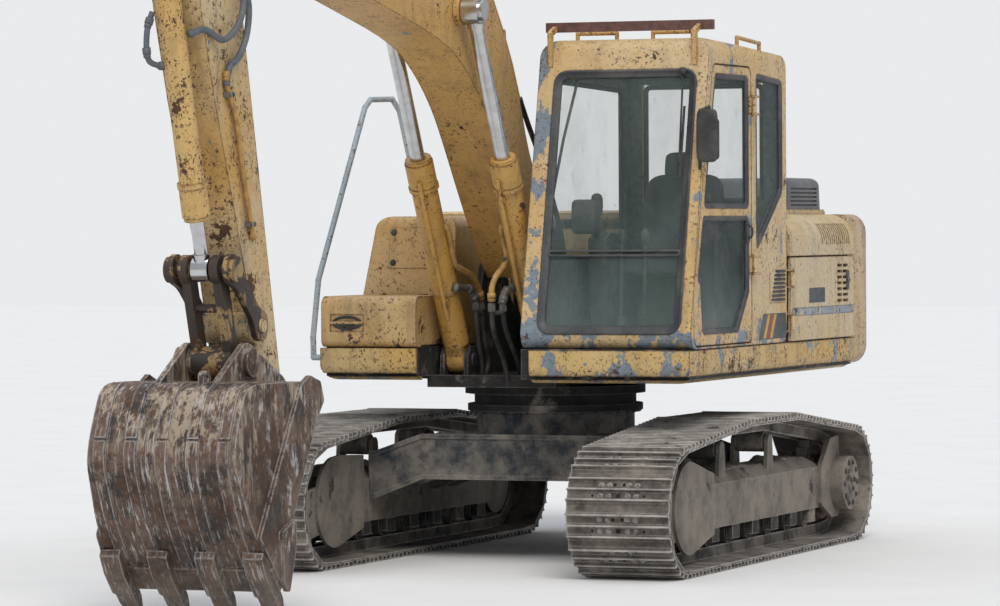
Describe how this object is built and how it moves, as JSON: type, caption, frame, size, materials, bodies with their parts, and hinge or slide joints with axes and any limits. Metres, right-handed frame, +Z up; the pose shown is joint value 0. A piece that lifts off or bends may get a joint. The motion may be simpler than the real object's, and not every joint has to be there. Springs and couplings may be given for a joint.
{
  "type": "crawler excavator",
  "caption": "Crawler excavator with a one-piece boom, arm and toothed bucket, a cab on its left, opening doors, hood and lid, and worn yellow and rust-brown paint.",
  "frame": {"origin": "centre of the bounding box's footprint, on the ground under the tracks", "axes": "+X to the machine's left (cab side), -Y forward to the bucket, +Z up"},
  "size_m": [2.76, 7.6135, 4.5027],
  "materials": {
    "yellow_paint": "sun-faded yellow over rust",
    "cab_paint": "faded yellow",
    "dark_paint": "dark, greasy",
    "muddy_steel": "dried mud over rust",
    "worn_steel": "rubbed by soil",
    "cast_weight": "painted casting",
    "rod_chrome": "polished",
    "black_plastic": "weathered",
    "seat_fabric": "worn",
    "window_glass": "dusty"
  },
  "bodies": {
    "undercarriage": {"car_body": "muddy_steel", "track_frame_left": "muddy_steel", "track_frame_right": "muddy_steel", "track_left": "muddy_steel", "track_right": "muddy_steel", "rollers_left": "muddy_steel", "rollers_right": "muddy_steel", "idler_left": "worn_steel", "idler_right": "worn_steel", "sprocket_left": "muddy_steel", "sprocket_right": "muddy_steel", "slew_ring": "muddy_steel"},
    "upper": {"revolving_frame": "dark_paint", "skirt_left": "yellow_paint", "skirt_right": "yellow_paint", "counterweight": "cast_weight", "engine_block": "dark_paint", "engine_house": "yellow_paint", "fuel_tank": "yellow_paint", "tool_box": "yellow_paint", "cab_frame": "cab_paint", "cab_glass": "window_glass", "operator_seat": "seat_fabric", "cab_consoles": "black_plastic", "roof_guard": "yellow_paint", "side_mirror": "black_plastic", "grab_rail": "dark_paint"},
    "cab_door": {"cab_door": "cab_paint", "door_glass": "window_glass"},
    "side_door_left": {"side_door_left": "yellow_paint"},
    "side_door_right": {"side_door_right": "yellow_paint"},
    "engine_hood": {"engine_hood": "yellow_paint", "intake_box": "black_plastic"},
    "tool_box_lid": {"tool_box_lid": "yellow_paint"},
    "boom": {"boom": "yellow_paint", "boom_pipes": "yellow_paint"},
    "boom_barrel_left": {"boom_barrel_left": "yellow_paint"},
    "boom_rod_left": {"boom_rod_left": "rod_chrome"},
    "boom_barrel_right": {"boom_barrel_right": "yellow_paint"},
    "boom_rod_right": {"boom_rod_right": "rod_chrome"},
    "arm": {"arm": "yellow_paint"},
    "arm_barrel": {"arm_barrel": "yellow_paint"},
    "arm_rod": {"arm_rod": "rod_chrome"},
    "bucket_barrel": {"bucket_barrel": "yellow_paint"},
    "bucket_rod": {"bucket_rod": "rod_chrome"},
    "rocker": {"rocker": "worn_steel"},
    "bucket_link": {"bucket_link": "worn_steel"},
    "bucket": {"bucket": "worn_steel"}
  },
  "joints": [
    {"name": "swing", "type": "hinge", "parent": "undercarriage", "child": "upper", "pos_m": [0, 1.32866, 1], "axis": [0, 0, 1], "continuous": true},
    {"name": "boom_lift", "type": "hinge", "parent": "upper", "child": "boom", "pos_m": [-0.15, 1.14866, 1.8], "axis": [-1, 0, 0], "range_deg": [-58, 38]},
    {"name": "arm_swing", "type": "hinge", "parent": "boom", "child": "arm", "pos_m": [-0.15, -3.50134, 3.65], "axis": [1, 0, 0], "range_deg": [-86, 14]},
    {"name": "bucket_curl", "type": "hinge", "parent": "arm", "child": "bucket", "pos_m": [-0.15, -2.74666, 1.09409], "axis": [-1, 0, 0], "range_deg": [-140, 8]},
    {"name": "boom_barrel_left_tilt", "type": "hinge", "parent": "upper", "child": "boom_barrel_left", "pos_m": [0.11, 0.82866, 1.168], "axis": [-1, 0, 0], "range_deg": [-51.06, 33.66]},
    {"name": "boom_rod_left_slide", "type": "slide", "parent": "boom_barrel_left", "child": "boom_rod_left", "axis": [0, -0.475, 0.88], "range_m": [-0.6124, 0.4029]},
    {"name": "boom_barrel_right_tilt", "type": "hinge", "parent": "upper", "child": "boom_barrel_right", "pos_m": [-0.41, 0.82866, 1.168], "axis": [-1, 0, 0], "range_deg": [-51.06, 33.66]},
    {"name": "boom_rod_right_slide", "type": "slide", "parent": "boom_barrel_right", "child": "boom_rod_right", "axis": [0, -0.475, 0.88], "range_m": [-0.6124, 0.4029]},
    {"name": "arm_barrel_tilt", "type": "hinge", "parent": "boom", "child": "arm_barrel", "pos_m": [-0.15, -0.82134, 3.85], "axis": [-1, 0, 0], "range_deg": [-6.62, 1.58]},
    {"name": "arm_rod_slide", "type": "slide", "parent": "arm_barrel", "child": "arm_rod", "axis": [0, -0.9816, 0.1907], "range_m": [-1.0107, 0.1687]},
    {"name": "rocker_tilt", "type": "hinge", "parent": "arm", "child": "rocker", "pos_m": [-0.15, -2.94405, 1.45183], "axis": [-1, 0, 0], "range_deg": [-130.47, 8.02]},
    {"name": "link_tilt", "type": "hinge", "parent": "rocker", "child": "bucket_link", "pos_m": [-0.15, -3.28436, 1.73923], "axis": [-1, 0, 0], "range_deg": [-6.07, 96.37]},
    {"name": "bucket_barrel_tilt", "type": "hinge", "parent": "arm", "child": "bucket_barrel", "pos_m": [-0.15, -3.70146, 3.18009], "axis": [-1, 0, 0], "range_deg": [-3.61, 0.77]},
    {"name": "bucket_rod_slide", "type": "slide", "parent": "bucket_barrel", "child": "bucket_rod", "axis": [0, 0.2781, -0.9606], "range_m": [-0.0508, 0.8061]},
    {"name": "cab_door_swing", "type": "hinge", "parent": "upper", "child": "cab_door", "pos_m": [1.289, 1.19766, 2.15], "axis": [0, 0, 1], "range_deg": [0, 165]},
    {"name": "side_door_left_swing", "type": "hinge", "parent": "upper", "child": "side_door_left", "pos_m": [1.287, 1.92866, 1.5], "axis": [0, 0, 1], "range_deg": [-100, 0]},
    {"name": "side_door_right_swing", "type": "hinge", "parent": "upper", "child": "side_door_right", "pos_m": [-1.287, 1.92866, 1.5], "axis": [0, 0, 1], "range_deg": [0, 100]},
    {"name": "engine_hood_lift", "type": "hinge", "parent": "upper", "child": "engine_hood", "pos_m": [0, 3.19666, 2], "axis": [-1, 0, 0], "range_deg": [0, 60]},
    {"name": "tool_box_lid_lift", "type": "hinge", "parent": "upper", "child": "tool_box_lid", "pos_m": [-0.82, 0.99066, 1.539], "axis": [-1, 0, 0], "range_deg": [0, 75]}
  ],
  "couplings": [
    {"joint": "boom_barrel_left_tilt", "follows": "boom_lift", "ratio": 0.87},
    {"joint": "boom_rod_left_slide", "follows": "boom_lift", "m_per_rad": 0.6},
    {"joint": "boom_barrel_right_tilt", "follows": "boom_lift", "ratio": 0.87},
    {"joint": "boom_rod_right_slide", "follows": "boom_lift", "m_per_rad": 0.6},
    {"joint": "arm_barrel_tilt", "follows": "arm_swing", "ratio": 0.07},
    {"joint": "arm_rod_slide", "follows": "arm_swing", "m_per_rad": 0.67},
    {"joint": "rocker_tilt", "follows": "bucket_curl", "ratio": 0.92767},
    {"joint": "link_tilt", "follows": "bucket_curl", "ratio": -0.6841},
    {"joint": "bucket_barrel_tilt", "follows": "bucket_curl", "ratio": 0.0215},
    {"joint": "bucket_rod_slide", "follows": "bucket_curl", "m_per_rad": -0.32784}
  ]
}
